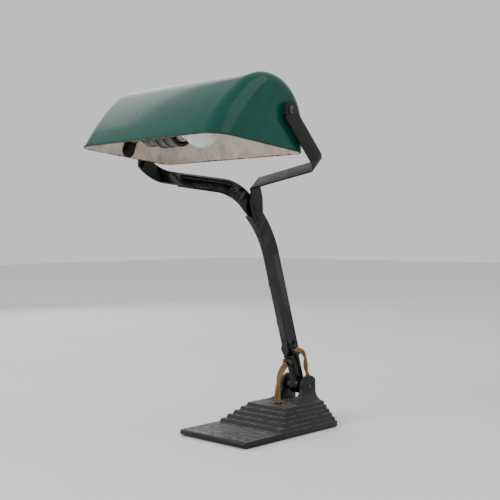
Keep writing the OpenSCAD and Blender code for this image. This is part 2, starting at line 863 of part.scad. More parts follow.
// Half outline of the bulb's glass, moved inwards by inset
module bulb_outline(inset) {
    neck_r = bulb_cap_r - 1.5;
    start = inset > 0 ? bulb_cap_end - 1 : bulb_cap_end;
    intersection() {
        union() {
            translate([0, bulb_x]) circle(r = bulb_r - inset);
            polygon([
                [0, start], [neck_r - inset, start], [neck_r + 2 - inset, bulb_x - 17],
                [bulb_r * 0.74 - inset, bulb_x - 14], [0, bulb_x]
            ]);
        }
        translate([0, bulb_cap_x]) square([bulb_r, shade_len]);
    }
}

module bulb_glass() {
    color("#f2efe6") on_holder() rotate([0, 90, 0]) rotate_extrude() difference() {
        bulb_outline(0);
        bulb_outline(glass_t);
    }
}

module bulb_cap() {
    color("#b8b4a8") on_holder() difference() {
        union() {
            rod(bulb_cap_x, bulb_cap_end - touch, bulb_cap_r);
            rod(insert_end - 1.9, bulb_cap_x + 1, 3.5);
        }
        rod(bulb_cap_x + 4, bulb_cap_end + 1, bulb_cap_r - 0.8);
    }
}

module bulb_filament() {
    color("#d9d9d9") on_holder() {
        rod(bulb_cap_x + 4 + touch, bulb_x - 8, 2.5);
        for (side = [-1, 1]) translate([0, side * 1.6, 0]) rod(bulb_x - 9, bulb_x + 2, 0.5);
        translate([bulb_x + 2, 0, 0]) rotate([90, 0, 0]) cylinder(r = 0.8, h = 12, center = true);
    }
}

// ---------------------------------------------------------------- output

base_casting();
base_felt();
front_grommet();
rear_grommet();
mains_inlet();
hinge_pin();
hinge_spacers();
lead_front();
lead_rear();
arm_foot();
foot_rivets();
foot_bushing();
stem();
stem_bushing();
channel_keeper();
fork_strap();
fork_rivets();
lead_clips();
lead_stem();
right_pivot_screw();
right_pivot_spacer();
left_pivot_nipple();
left_pivot_spacer();
left_outer_nut();
shade();
right_inner_washer();
right_inner_nut();
lampholder_bracket();
left_inner_nut();
holder_nipple();
holder_nuts();
holder_cap();
holder_body();
holder_ring();
holder_contacts();
lead_holder();
bulb_glass();
bulb_cap();
bulb_filament();
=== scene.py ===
"""Looks of the desk lamp: enamelled shade, black pressed arm, cast iron base and cloth leads."""

import json
import math

import bpy
import numpy as np
from mathutils import Matrix, Vector


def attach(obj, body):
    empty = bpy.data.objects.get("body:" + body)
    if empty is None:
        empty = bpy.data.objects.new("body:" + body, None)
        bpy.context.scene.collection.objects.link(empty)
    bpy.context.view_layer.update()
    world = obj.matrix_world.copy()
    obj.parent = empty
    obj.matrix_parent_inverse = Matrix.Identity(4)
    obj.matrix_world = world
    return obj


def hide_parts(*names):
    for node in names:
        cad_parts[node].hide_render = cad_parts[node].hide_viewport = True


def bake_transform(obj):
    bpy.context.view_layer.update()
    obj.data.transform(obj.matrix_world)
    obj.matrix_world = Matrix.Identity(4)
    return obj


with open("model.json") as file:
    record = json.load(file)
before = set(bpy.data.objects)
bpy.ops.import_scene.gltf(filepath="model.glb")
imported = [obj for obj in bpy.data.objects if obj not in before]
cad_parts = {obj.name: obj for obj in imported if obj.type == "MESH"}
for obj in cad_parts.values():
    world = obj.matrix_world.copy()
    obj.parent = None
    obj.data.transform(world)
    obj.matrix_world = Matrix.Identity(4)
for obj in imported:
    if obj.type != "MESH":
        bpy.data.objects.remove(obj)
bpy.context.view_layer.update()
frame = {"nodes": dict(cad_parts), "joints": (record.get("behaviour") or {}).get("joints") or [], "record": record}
nodes = frame["nodes"]
joints = {joint["name"]: joint for joint in frame["joints"]}

PIVOT = Vector(joints["shade_tilt"]["pos_m"])

# Shade in a frame at the pivots, in metres; its front corners are wider here than in the CAD part
SHADE_TILT = math.radians(5.7)
SHADE_LEN = 0.250
SHADE_WALL = 0.0014
CROWN = Vector((-0.023, -0.0175))
CROWN_R = 0.058
FRONT_R = 0.250
CORNER_R = 0.014
FRONT_CORNER_R = 0.024
BACK_FLARE = 5.7
FRONT_TURN = 134.7
RIM_Z = -0.0446
RIM_UP = Vector((0, math.sin(SHADE_TILT), math.cos(SHADE_TILT)))
RIM_LEVEL = PIVOT.dot(RIM_UP) + RIM_Z

# Heights on the base
PLATE_TOP = 0.0085
STEP_RISE = 0.0048
STEPS_TOP = 0.0325
STEP_FADE = 0.0012

# Lampholder's middle line and the bulb on it
HOLDER_FORWARD = 0.026
HOLDER_DROP = 0.017
BULB_R = 0.0225
BULB_X = 0.010
GLASS_T = 0.0008


# ---------------------------------------------------------------- shader values

class Wire:
    """One socket of a material's node tree, with arithmetic on it."""

    def __init__(self, tree, socket=None):
        self.tree = tree
        self.socket = socket

    def add(self, kind, settings, inputs, out=0):
        """Adds a node, sets it up, and feeds its inputs with numbers, colours or wires."""
        made = self.tree.nodes.new(kind)
        for name, value in settings.items():
            setattr(made, name, value)
        for name, value in inputs.items():
            if isinstance(value, Wire):
                self.tree.links.new(value.socket, made.inputs[name])
            else:
                made.inputs[name].default_value = value
        return Wire(self.tree, made.outputs[out])

    def math(self, operation, *values):
        return self.add("ShaderNodeMath", {"operation": operation}, dict(enumerate(values)))

    def __add__(self, other):
        return self.math("ADD", self, other)

    def __sub__(self, other):
        return self.math("SUBTRACT", self, other)

    def __mul__(self, other):
        return self.math("MULTIPLY", self, other)

    def __truediv__(self, other):
        return self.math("DIVIDE", self, other)

    def __mod__(self, other):
        return self.math("FLOORED_MODULO", self, other)

    __radd__ = __add__
    __rmul__ = __mul__

    def __rsub__(self, other):
        return self.math("SUBTRACT", other, self)

    def absolute(self):
        return self.math("ABSOLUTE", self)

    def sine(self):
        return self.math("SINE", self)

    def clamp(self):
        return self.add("ShaderNodeClamp", {}, {"Value": self})


def noise(at, scale, detail=3, rough=0.55, warp=0.0):
    inputs = {"Vector": at, "Scale": scale, "Detail": detail, "Roughness": rough, "Distortion": warp}
    return at.add("ShaderNodeTexNoise", {}, inputs, "Fac")


def cells(at, scale):
    """Distance to the nearest of many scattered points."""
    return at.add("ShaderNodeTexVoronoi", {}, {"Vector": at, "Scale": scale}, "Distance")


def stretch(at, scale):
    return at.add("ShaderNodeVectorMath", {"operation": "MULTIPLY"}, {0: at, 1: scale}, "Vector")


def along(at, direction):
    return at.add("ShaderNodeVectorMath", {"operation": "DOT_PRODUCT"}, {0: at, 1: direction}, "Value")


def ramp(value, low, high):
    """0 below low and 1 above high, smoothly; low may be the greater of the two."""
    inputs = {"Value": value, "From Min": low, "From Max": high}
    return value.add("ShaderNodeMapRange", {"interpolation_type": "SMOOTHSTEP"}, inputs, "Result")


def blend(mask, below, above):
    """Colour that goes from below to above as mask goes from 0 to 1."""
    return mask.add("ShaderNodeMix", {"data_type": "RGBA"}, {0: mask, 6: colour(below), 7: colour(above)}, 2)


def colour(value):
    return value if isinstance(value, Wire) or len(value) == 4 else (*value, 1)


def bump(height, depth, strength=1.0):
    """Surface direction over a height from 0 to 1 that is depth metres deep."""
    inputs = {"Height": height, "Strength": strength, "Distance": depth}
    return height.add("ShaderNodeBump", {}, inputs, "Normal")


def upward(at):
    """How much the surface faces up, from 0 to 1."""
    facing = at.add("ShaderNodeNewGeometry", {}, {}, "Normal")
    return along(facing, (0, 0, 1)).clamp()


def scratches(at, scale, amount, turn=(0.3, 0.1, 0.9)):
    """Mask of short thin scratches along one direction; amount is 0 to 1."""
    mapping = {"Vector": at, "Rotation": turn, "Scale": (1, 0.045, 1)}
    run = at.add("ShaderNodeMapping", {}, mapping, "Vector")
    fine = noise(run, scale * 6, 2, 0.5)
    lines = ramp((fine - 0.5).absolute(), 0.012, 0.002)
    return lines * ramp(noise(at, scale * 0.25, 2), 0.74 - 0.3 * amount, 0.80 - 0.3 * amount)


def material(name, paint, **constants):
    """Material whose varying values come from paint, called with the Object coordinate."""
    made = bpy.data.materials.new(name)
    made.use_nodes = True
    shader = made.node_tree.nodes["Principled BSDF"]
    at = Wire(made.node_tree).add("ShaderNodeTexCoord", {}, {}, "Object")
    for socket, value in {**constants, **paint(at)}.items():
        if isinstance(value, Wire):
            made.node_tree.links.new(value.socket, shader.inputs[socket])
        else:
            shader.inputs[socket].default_value = value
    return made


# ---------------------------------------------------------------- finishes

def green_enamel(at):
    """Glassy green enamel, chipped to dark iron along the rim and scratched on the barrel."""
    rim = along(at, RIM_UP) - RIM_LEVEL
    broad = noise(at, 9, 3)
    mottle = noise(at, 70, 3)
    deep = blend(broad, (0.0005, 0.045, 0.031), (0.001, 0.068, 0.048))
    glaze = blend(ramp(mottle, 0.35, 0.75) * 0.25, deep, (0.002, 0.105, 0.075))
    ragged = noise(at, 160, 4, 0.65)
    edge_chips = ramp(ragged + noise(at, 22, 2) * 0.5 - rim * 190, 0.50, 0.55)
    chips = ramp(cells(at, 60) + ragged * 0.12, 0.135, 0.125) * ramp(noise(at, 17, 2), 0.58, 0.62)
    bare = (edge_chips + chips).clamp()
    rust = blend(noise(at, 300, 3), (0.018, 0.011, 0.008), (0.075, 0.032, 0.014))
    lines = scratches(at, 60, 0.2)
    scuffed = blend(lines * 0.4, glaze, (0.06, 0.2, 0.16))
    dust = ramp(noise(at, 30, 5), 0.45, 0.8)
    orange_peel = noise(at, 260, 2) * 0.15 + noise(at, 24, 2) * 0.85
    height = orange_peel * 0.5 + (1 - bare) * 0.6
    return {
        "Base Color": blend(bare, scuffed, rust),
        "Roughness": 0.13 + dust * 0.09 + lines * 0.3 + bare * 0.5,
        "Coat Weight": 0.06 - bare * 0.06,
        "Normal": bump(height, 0.00045, 0.8),
    }


def cream_enamel(at):
    """Warm off-white enamel inside the shade, browned with age and speckled with chips."""
    rim = along(at, RIM_UP) - RIM_LEVEL
    cloud = noise(at, 16, 5, 0.6)
    white = blend(ramp(cloud, 0.35, 0.75), (0.80, 0.745, 0.68), (0.64, 0.56, 0.48))
    grime = ramp(noise(at, 55, 5, 0.65) - rim * 9, 0.30, 0.55)
    stained = blend(grime * 0.5, white, (0.36, 0.26, 0.18))
    edge_chips = ramp(noise(at, 190, 4, 0.65) + noise(at, 26, 2) * 0.5 - rim * 230, 0.52, 0.57)
    flaw = noise(at, 240, 3)
    specks = ramp(cells(at, 75) + flaw * 0.12, 0.145, 0.13) * ramp(noise(at, 24, 2), 0.50, 0.55)
    bare = (edge_chips + specks).clamp()
    rust = blend(noise(at, 260, 3), (0.05, 0.025, 0.015), (0.17, 0.08, 0.035))
    return {
        "Base Color": blend(bare, stained, rust),
        "Roughness": 0.3 + cloud * 0.15 + bare * 0.4,
        "Normal": bump(noise(at, 60, 3) * 0.5 + (1 - bare) * 0.5, 0.0005, 0.7),
    }


def chipped_rim(at):
    """Raw rim of the shade, where the enamel has flaked off the steel."""
    flaked = ramp(noise(at, 150, 5, 0.7), 0.44, 0.56)
    rust = blend(noise(at, 500, 3), (0.012, 0.009, 0.007), (0.055, 0.028, 0.015))
    glaze = blend(noise(at, 40, 2), (0.002, 0.03, 0.022), (0.12, 0.14, 0.11))
    return {
        "Base Color": blend(flaked, glaze, rust),
        "Roughness": 0.35 + flaked * 0.4,
        "Normal": bump(noise(at, 320, 4), 0.0003, 0.7),
    }


def black_iron(at):
    """Black paint on cast iron, paler on faces that look up as dust and painted top light, and worn grey along the
    edges of the steps.
    """
    height = along(at, (0, 0, 1))
    step = (height - PLATE_TOP) / STEP_RISE
    ridge = ramp(((step + 0.5) % 1.0 - 0.5).absolute(), 0.09, 0.0)
    on_steps = ramp(height, PLATE_TOP - STEP_FADE, PLATE_TOP) * ramp(height, STEPS_TOP + STEP_FADE, STEPS_TOP)
    rub = noise(at, 130, 5, 0.65)
    worn = ridge * on_steps * ramp(rub, 0.42, 0.62)
    nicks = ramp(cells(at, 120) + rub * 0.15, 0.155, 0.135) * ramp(noise(at, 35, 2), 0.56, 0.60)
    bare = (worn * 0.8 + nicks * 0.7).clamp()
    # Paler on faces that look up: dust, and painted light on the tops of the steps
    dust_and_top_light = (ramp(noise(at, 14, 4, 0.55), 0.30, 0.70) * 0.6 + 0.35) * upward(at)
    paint = blend(noise(at, 60, 4), (0.004, 0.005, 0.005), (0.008, 0.009, 0.009))
    dusted_and_top_lit = blend(dust_and_top_light * 0.28, paint, (0.095, 0.098, 0.09))
    grain = noise(at, 420, 4, 0.6) * 0.5 + noise(at, 70, 3) * 0.5
    return {
        "Base Color": blend(bare, dusted_and_top_lit, (0.16, 0.15, 0.14)),
        "Roughness": 0.34 + dust_and_top_light * 0.22 + rub * 0.12,
        "Metallic": bare * 0.7,
        "Normal": bump(grain, 0.00035, 0.55),
    }


def gloss_black(at):
    """Black stove enamel on pressed steel, with small chips and fine scratches."""
    wave = noise(at, 45, 3)
    lines = scratches(at, 110, 0.5, (0.2, 0.9, 0.4))
    chips = ramp(cells(at, 95) + wave * 0.1, 0.115, 0.10) * ramp(noise(at, 26, 2), 0.56, 0.60)
    bare = (chips + lines * 0.35).clamp()
    paint = blend(wave, (0.002, 0.002, 0.002), (0.005, 0.005, 0.005))
    metal = blend(noise(at, 350, 3), (0.10, 0.085, 0.07), (0.2, 0.18, 0.16))
    return {
        "Base Color": blend(bare, paint, metal),
        "Roughness": 0.17 + noise(at, 70, 5) * 0.14 + bare * 0.35,
        "Metallic": bare * 0.6,
        "Normal": bump(wave * 0.4 + noise(at, 190, 3) * 0.2 + (1 - chips) * 0.4, 0.0003, 0.55),
    }


def satin_black(at):
    """Worn dark coating of the riveted strap, rubbed to a brown grey in places."""
    cloud = noise(at, 32, 5, 0.6)
    rubbed = ramp(noise(at, 75, 5, 0.65), 0.5, 0.72)
    paint = blend(cloud, (0.006, 0.006, 0.006), (0.014, 0.013, 0.012))
    return {
        "Base Color": blend(rubbed * 0.5, paint, (0.035, 0.029, 0.024)),
        "Roughness": 0.42 + cloud * 0.2,
        "Metallic": rubbed * 0.2,
        "Normal": bump(noise(at, 260, 4), 0.00022, 0.6),
    }


def aged_metal(light, dark, tarnish, polish):
    """Maker of a bare metal finish that is bright, with tarnish in patches."""
    def paint(at):
        patch = ramp(noise(at, 140, 5, 0.65), 0.4, 0.68)
        tone = blend(noise(at, 420, 3), light, dark)
        brushed = noise(stretch(at, (40, 1, 1)), 900, 2)
        return {
            "Base Color": blend(patch * 0.8, tone, tarnish),
            "Roughness": polish + patch * 0.25 + brushed * 0.08,
            "Metallic": 1 - patch * 0.35,
            "Normal": bump(brushed * 0.5 + patch * 0.5, 0.00008, 0.6),
        }
    return paint


def bakelite(at):
    """Moulded brown-black plastic with a worn polish."""
    swirl = noise(at, 60, 4, 0.6, 1.5)
    return {
        "Base Color": blend(swirl, (0.004, 0.003, 0.003), (0.012, 0.009, 0.007)),
        "Roughness": 0.24 + noise(at, 180, 4) * 0.2,
        "Normal": bump(noise(at, 240, 3), 0.00008, 0.5),
    }


def porcelain(at):
    """Glazed off-white porcelain with faint grey marks."""
    marks = ramp(noise(at, 120, 5), 0.5, 0.72)
    return {
        "Base Color": blend(marks * 0.5, (0.78, 0.75, 0.69), (0.45, 0.4, 0.34)),
        "Roughness": 0.2 + marks * 0.2,
        "Normal": bump(noise(at, 150, 3), 0.0001, 0.4),
    }


def opal_glass(at):
    """White coated glass of the bulb, slightly uneven."""
    cloud = noise(at, 50, 3)
    return {
        "Base Color": blend(cloud, (0.88, 0.86, 0.83), (0.80, 0.77, 0.73)),
        "Roughness": 0.14 + noise(at, 90, 4) * 0.1,
        "Normal": bump(cloud, 0.0001, 0.3),
    }


def cloth_braid(at):
    """Golden brown braid: crossing yarns over each strand, with painted highlight on the yarn crowns, painted
    shade in the grooves between them, and dirty patches.
    """
    uv = at.add("ShaderNodeUVMap", {"uv_map": "weave"}, {}, "UV")
    u = at.add("ShaderNodeSeparateXYZ", {}, {0: uv}, "X")
    v = at.add("ShaderNodeSeparateXYZ", {}, {0: uv}, "Y")
    turns = 2 * math.pi
    left = (u * (6 * turns) + v * (9 * turns)).sine()
    right = (u * (6 * turns) - v * (9 * turns)).sine()
    yarn = (left * right) * 0.5 + 0.5
    worn = noise(at, 90, 4, 0.6)
    tone = blend(worn, (0.085, 0.042, 0.011), (0.21, 0.118, 0.031))
    # Lighter on the yarn crowns and darker between them: painted highlight and painted shade that follow the yarn
    # relief
    light = blend(yarn * 0.5, tone, (0.33, 0.2, 0.062))
    return {
        "Base Color": blend(ramp(noise(at, 45, 4), 0.52, 0.75) * 0.75, light, (0.05, 0.03, 0.016)),
        "Roughness": 0.62 + worn * 0.25,
        "Normal": bump(yarn * 0.8 + noise(at, 1400, 2) * 0.2, 0.00035, 0.9),
    }


def felt(at):
    fibres = noise(at, 1500, 4, 0.7)
    return {
        "Base Color": blend(fibres, (0.012, 0.05, 0.028), (0.03, 0.1, 0.06)),
        "Roughness": 0.85 + fibres * 0.1,
        "Normal": bump(fibres, 0.0004, 0.8),
    }


def pale_floor(at):
    return {
        "Base Color": blend(noise(at, 3, 2), (0.80, 0.79, 0.78), (0.76, 0.75, 0.74)),
        "Roughness": 0.7 + noise(at, 8, 2) * 0.1,
    }


STEEL = aged_metal((0.42, 0.41, 0.39), (0.28, 0.27, 0.25), (0.10, 0.075, 0.05), 0.28)
DARK_STEEL = aged_metal((0.13, 0.125, 0.12), (0.06, 0.058, 0.055), (0.02, 0.017, 0.014), 0.3)
NICKEL = aged_metal((0.52, 0.50, 0.45), (0.36, 0.34, 0.30), (0.16, 0.12, 0.07), 0.24)
BRASS = aged_metal((0.52, 0.36, 0.13), (0.36, 0.23, 0.08), (0.11, 0.07, 0.03), 0.27)

finishes = {
    "black_iron": material("black_iron", black_iron, **{"Specular IOR Level": 0.25}),
    "black_steel": material("black_steel", gloss_black, **{"Specular IOR Level": 0.3}),
    "strap_steel": material("strap_steel", satin_black, **{"Specular IOR Level": 0.25}),
    "green_enamel": material(
        "green_enamel", green_enamel, **{"Coat Roughness": 0.06, "Specular IOR Level": 0.22}),
    "green_felt": material("green_felt", felt),
    "black_bakelite": material("black_bakelite", bakelite, **{"Coat Weight": 0.2}),
    "bright_steel": material("bright_steel", STEEL),
    "dark_steel": material("dark_steel", DARK_STEEL),
    "nickel": material("nickel", NICKEL),
    "old_brass": material("old_brass", BRASS),
    "gold_cloth": material("gold_cloth", cloth_braid, **{"Sheen Weight": 0.15, "Sheen Roughness": 0.4}),
    "white_porcelain": material("white_porcelain", porcelain),
    "opal_glass": material("opal_glass", opal_glass, **{"Subsurface Weight": 0.25, "Coat Weight": 0.5}),
}
cream = material("cream_enamel", cream_enamel, **{"Coat Weight": 0.35, "Coat Roughness": 0.12})
raw_rim = material("raw_rim", chipped_rim)


# ---------------------------------------------------------------- modelling helpers

TOUCH = 1e-6


def deselect():
    bpy.ops.object.select_all(action="DESELECT")


def settle(piece):
    """Puts a piece's place, turn and scale into its mesh."""
    deselect()
    piece.select_set(True)
    bpy.context.view_layer.objects.active = piece
    bpy.ops.object.transform_apply(location=True, rotation=True, scale=True)
    return piece


def wear(piece, *materials):
    piece.data.materials.clear()
    for one in materials:
        piece.data.materials.append(one)
    return piece


def apply(piece, kind, **settings):
    """Adds a modifier, sets it up and applies it."""
    modifier = piece.modifiers.new(kind.lower(), kind)
    for name, value in settings.items():
        setattr(modifier, name, value)
    deselect()
    piece.select_set(True)
    bpy.context.view_layer.objects.active = piece
    bpy.ops.object.modifier_apply(modifier=modifier.name)
    return piece


def smooth(piece, angle=35):
    deselect()
    piece.select_set(True)
    bpy.context.view_layer.objects.active = piece
    bpy.ops.object.shade_smooth_by_angle(angle=math.radians(angle))
    return piece


def wire_loop(name, points):
    """Closed wire through points, made from a circle with one vertex for each."""
    deselect()
    bpy.ops.mesh.primitive_circle_add(vertices=len(points), radius=0.01)
    piece = bpy.context.object
    piece.name = name
    for vertex, point in zip(piece.data.vertices, points):
        vertex.co = point
    return piece


def pick_edges(piece, test):
    """Selects the edges whose two ends pass the test, and nothing else, and stays in edit mode."""
    bpy.ops.object.mode_set(mode="EDIT")
    bpy.ops.mesh.select_mode(type="EDGE")
    bpy.ops.mesh.select_all(action="DESELECT")
    bpy.ops.object.mode_set(mode="OBJECT")
    mesh = piece.data
    for edge in mesh.edges:
        edge.select = test([mesh.vertices[i].co for i in edge.vertices])
    bpy.ops.object.mode_set(mode="EDIT")


def wrapped_grid(name, columns, rows, place):
    """Grid of columns by rows vertices, each put where place(column, row) says."""
    deselect()
    bpy.ops.mesh.primitive_grid_add(x_subdivisions=columns - 1, y_subdivisions=rows - 1, size=1)
    piece = bpy.context.object
    piece.name = name
    for vertex in piece.data.vertices:
        column = round((vertex.co.x + 0.5) * (columns - 1))
        row = round((vertex.co.y + 0.5) * (rows - 1))
        vertex.co = place(column, row)
    return piece


def close_up(piece):
    """Merges the seam and the poles, and turns every face outwards."""
    bpy.ops.object.mode_set(mode="EDIT")
    bpy.ops.mesh.select_all(action="SELECT")
    bpy.ops.mesh.remove_doubles(threshold=TOUCH)
    bpy.ops.mesh.normals_make_consistent(inside=False)
    bpy.ops.object.mode_set(mode="OBJECT")
    return piece


def turned(name, outline, middle, steps=64):
    """Solid of revolution about an X line through middle; outline is (x, radius) points."""
    deselect()
    points = [Vector((x, 0, r)) + middle for x, r in outline]
    piece = wire_loop(name, points)
    bpy.ops.object.mode_set(mode="EDIT")
    bpy.ops.mesh.select_all(action="SELECT")
    bpy.ops.mesh.spin(steps=steps, angle=2 * math.pi, center=middle, axis=(1, 0, 0), use_auto_merge=True)
    bpy.ops.object.mode_set(mode="OBJECT")
    return close_up(piece)


# ---------------------------------------------------------------- shade

CROWN_ROWS = 44
FRONT_ROWS = 18
BACK_ROWS = 8
CORNER_COLUMNS = 14


def skin_point(row, inset):
    """Point (y, z) of the shade's side outline at a row, moved inwards by inset; row 0 is the back rim."""
    flare, turn = math.radians(BACK_FLARE), math.radians(FRONT_TURN)
    foot = CROWN + (CROWN_R - inset) * Vector((math.cos(flare), math.sin(flare)))
    if row < BACK_ROWS:
        drop = (foot.y - RIM_Z) / math.cos(flare)
        return foot + drop * (1 - row / BACK_ROWS) * Vector((math.sin(flare), -math.cos(flare)))
    row -= BACK_ROWS
    if row <= CROWN_ROWS:
        angle = flare + (turn - flare) * row / CROWN_ROWS
        return CROWN + (CROWN_R - inset) * Vector((math.cos(angle), math.sin(angle)))
    middle = CROWN - (FRONT_R - CROWN_R) * Vector((math.cos(turn), math.sin(turn)))
    last = math.pi - math.asin((RIM_Z - middle.y) / (FRONT_R - inset))
    angle = turn + (last - turn) * (row - CROWN_ROWS) / FRONT_ROWS
    return middle + (FRONT_R - inset) * Vector((math.cos(angle), math.sin(angle)))


def corner_radius(row, rows):
    """Radius between barrel and end plate: it widens towards the front rim."""
    t = min(max((row / (rows - 1) - 0.55) / 0.45, 0), 1)
    return CORNER_R + (FRONT_CORNER_R - CORNER_R) * t * t * (3 - 2 * t)


def make_shade():
    """Pressed shell: a grid wrapped over the barrel and its rounded ends, with flat end plates."""
    rows = BACK_ROWS + CROWN_ROWS + FRONT_ROWS + 1
    columns = 2 * (CORNER_COLUMNS + 1)

    def place(column, row):
        side = 1 if column > CORNER_COLUMNS else -1
        step = column - CORNER_COLUMNS - 1 if side > 0 else CORNER_COLUMNS - column
        angle = math.pi / 2 * step / CORNER_COLUMNS
        radius = corner_radius(row, rows)
        y, z = skin_point(row, radius * (1 - math.cos(angle)))
        return side * (SHADE_LEN / 2 - radius + radius * math.sin(angle)), y, z

    piece = wrapped_grid("shade_shell", columns, rows, place)
    for side in (-1, 1):
        pick_edges(piece, lambda ends: all(abs(p.x - side * SHADE_LEN / 2) < TOUCH for p in ends))
        bpy.ops.mesh.edge_face_add()
        bpy.ops.object.mode_set(mode="OBJECT")
    close_up(piece)
    piece.location = PIVOT
    piece.rotation_euler = (-SHADE_TILT, 0, 0)
    settle(piece)
    wear(piece, finishes["green_enamel"], cream, raw_rim)
    apply(piece, "SOLIDIFY", thickness=SHADE_WALL, offset=-1, use_even_offset=False,
          material_offset=1, material_offset_rim=2)
    apply(piece, "BEVEL", width=0.0004, segments=2, limit_method="ANGLE", angle_limit=math.radians(60))
    smooth(piece, 40)
    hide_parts("shade")
    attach(piece, "shade")


# ---------------------------------------------------------------- bulb

def on_holder(x):
    """Point on the lampholder's middle line."""
    y, z = -HOLDER_FORWARD, -HOLDER_DROP
    c, s = math.cos(-SHADE_TILT), math.sin(-SHADE_TILT)
    return PIVOT + Vector((x, y * c - z * s, y * s + z * c))


def make_bulb():
    """Round bulb with a smooth neck, as a closed thin shell."""
    neck_x, neck_r, shoulder = -0.017, 0.0115, math.radians(138)
    round_part = [
        (BULB_X + BULB_R * math.cos(a), BULB_R * math.sin(a))
        for a in (shoulder * i / 26 for i in range(27))
    ]
    x1, r1 = round_part[-1]
    slope = Vector((-math.sin(shoulder), math.cos(shoulder)))
    neck = []
    for i in range(1, 11):
        t = i / 10
        p0, p1 = Vector((x1, r1)), Vector((x1, r1)) + 0.006 * slope
        p2, p3 = Vector((neck_x + 0.006, neck_r)), Vector((neck_x, neck_r))
        p = (1 - t) ** 3 * p0 + 3 * t * (1 - t) ** 2 * p1 + 3 * t * t * (1 - t) * p2 + t ** 3 * p3
        neck.append((p.x, p.y))
    outside = round_part + neck
    inside = [(x, max(r - GLASS_T, 0)) for x, r in reversed(outside)]
    inside[-1] = (outside[0][0] - GLASS_T, 0)
    piece = turned("bulb_envelope", outside + inside, on_holder(0), 72)
    smooth(wear(piece, finishes["opal_glass"]), 50)
    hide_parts("bulb_glass")
    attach(piece, "shade")


# ---------------------------------------------------------------- ridge on the left arm

LEFT_LEAN = math.radians(47.6)
LEFT_SLOPE = math.radians(12.4)
ARM_CURVE_END = Vector((0, -0.01428, 0.29088))
BEND_MIDDLE = Vector((0.02625, 0.01988))
FACE_R = 0.03125
RIDGE_OFFSET = 0.005
RIDGE_HALF_W = 0.0035
RIDGE_H = 0.00172
RIDGE_FIRST, RIDGE_LAST = 0.0026, 0.0892
RIDGE_ROWS, RIDGE_SIDES = 90, 20


def make_ridge():
    """Rounded ridge pressed into the left arm, faded out at both ends."""
    along_arm = Vector((0, -math.sin(LEFT_LEAN), math.cos(LEFT_LEAN)))
    across_arm = Vector((0, math.cos(LEFT_LEAN), math.sin(LEFT_LEAN)))
    bend_last = math.pi / 2 + LEFT_SLOPE
    bend_end = BEND_MIDDLE + FACE_R * Vector((math.cos(bend_last), math.sin(bend_last)))

    def place(column, row):
        a = RIDGE_FIRST + (RIDGE_LAST - RIDGE_FIRST) * row / (RIDGE_ROWS - 1)
        if a < bend_end.x:
            turn = math.acos((a - BEND_MIDDLE.x) / FACE_R)
            spot = BEND_MIDDLE + FACE_R * Vector((math.cos(turn), math.sin(turn)))
            out = Vector((math.cos(turn), math.sin(turn)))
        else:
            spot = bend_end + (a - bend_end.x) * Vector((1, math.tan(LEFT_SLOPE)))
            out = Vector((-math.sin(LEFT_SLOPE), math.cos(LEFT_SLOPE)))
        fade = min(a - RIDGE_FIRST, RIDGE_LAST - a, RIDGE_HALF_W) / RIDGE_HALF_W
        size = math.sqrt(max(0, 1 - (1 - fade) ** 2))
        turn = 2 * math.pi * column / RIDGE_SIDES
        spot = spot + out * RIDGE_H * size * math.sin(turn)
        across = RIDGE_OFFSET + RIDGE_HALF_W * size * math.cos(turn)
        return ARM_CURVE_END - Vector((spot.x, 0, 0)) + spot.y * along_arm + across * across_arm

    ridge = close_up(wrapped_grid("arm_ridge", RIDGE_SIDES + 1, RIDGE_ROWS, place))
    smooth(wear(ridge, finishes["black_steel"]), 60)
    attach(ridge, "arm")


# ---------------------------------------------------------------- cloth leads

def curve_points(route, parts):
    """Points on a smooth curve through the route's own points."""
    points = [Vector(p) / 1000 for p in route]
    made = []
    for i in range(len(points) - 1):
        p0, p1 = points[max(i - 1, 0)], points[i]
        p2, p3 = points[i + 1], points[min(i + 2, len(points) - 1)]
        for k in range(parts):
            t = k / parts
            made.append(0.5 * (2 * p1 + (p2 - p0) * t + (2 * p0 - 5 * p1 + 4 * p2 - p3) * t * t
                               + (3 * p1 - p0 - 3 * p2 + p3) * t ** 3))
    return made + [points[-1]]


def evenly(points, step):
    """The same curve with its points about step apart."""
    lengths = [0.0]
    for a, b in zip(points, points[1:]):
        lengths.append(lengths[-1] + (b - a).length)
    count = max(4, round(lengths[-1] / step))
    spaced = np.linspace(0, lengths[-1], count + 1)
    table = np.array(points)
    axes = [np.interp(spaced, lengths, table[:, k]) for k in range(3)]
    return [Vector(p) for p in zip(*axes)], lengths[-1] / count


def frames(points):
    """Tangent and two side directions at each point, carried along without twist."""
    made = []
    side = Vector((1, 0.13, 0.07))
    for i in range(len(points)):
        t = (points[min(i + 1, len(points) - 1)] - points[max(i - 1, 0)]).normalized()
        side = (side - side.dot(t) * t).normalized()
        made.append((t, side.copy(), t.cross(side)))
    return made


def tube_mesh(strands, radius, sides, step):
    """Vertices, faces and weave coordinates of closed tubes along the strands' points."""
    vertices, faces, weave = [], [], []
    for points in strands:
        base = len(vertices)
        for point, (_, a, b) in zip(points, frames(points)):
            for k in range(sides):
                turn = 2 * math.pi * k / sides
                vertices.append(point + radius * (math.cos(turn) * a + math.sin(turn) * b))
        for i in range(len(points) - 1):
            v0, v1 = i * step / (2 * math.pi * radius), (i + 1) * step / (2 * math.pi * radius)
            for k in range(sides):
                a, b = base + i * sides + k, base + i * sides + (k + 1) % sides
                faces.append((a, b, b + sides, a + sides))
                u0, u1 = k / sides, (k + 1) / sides
                weave += [(u0, v0), (u1, v0), (u1, v1), (u0, v1)]
        last = base + (len(points) - 1) * sides
        faces.append(tuple(base + k for k in range(sides - 1, -1, -1)))
        faces.append(tuple(last + k for k in range(sides)))
        weave += [(0, 0)] * (2 * sides)
    return vertices, faces, weave


STRAND_SHARE = 0.27
STRAND_SIDES = 12


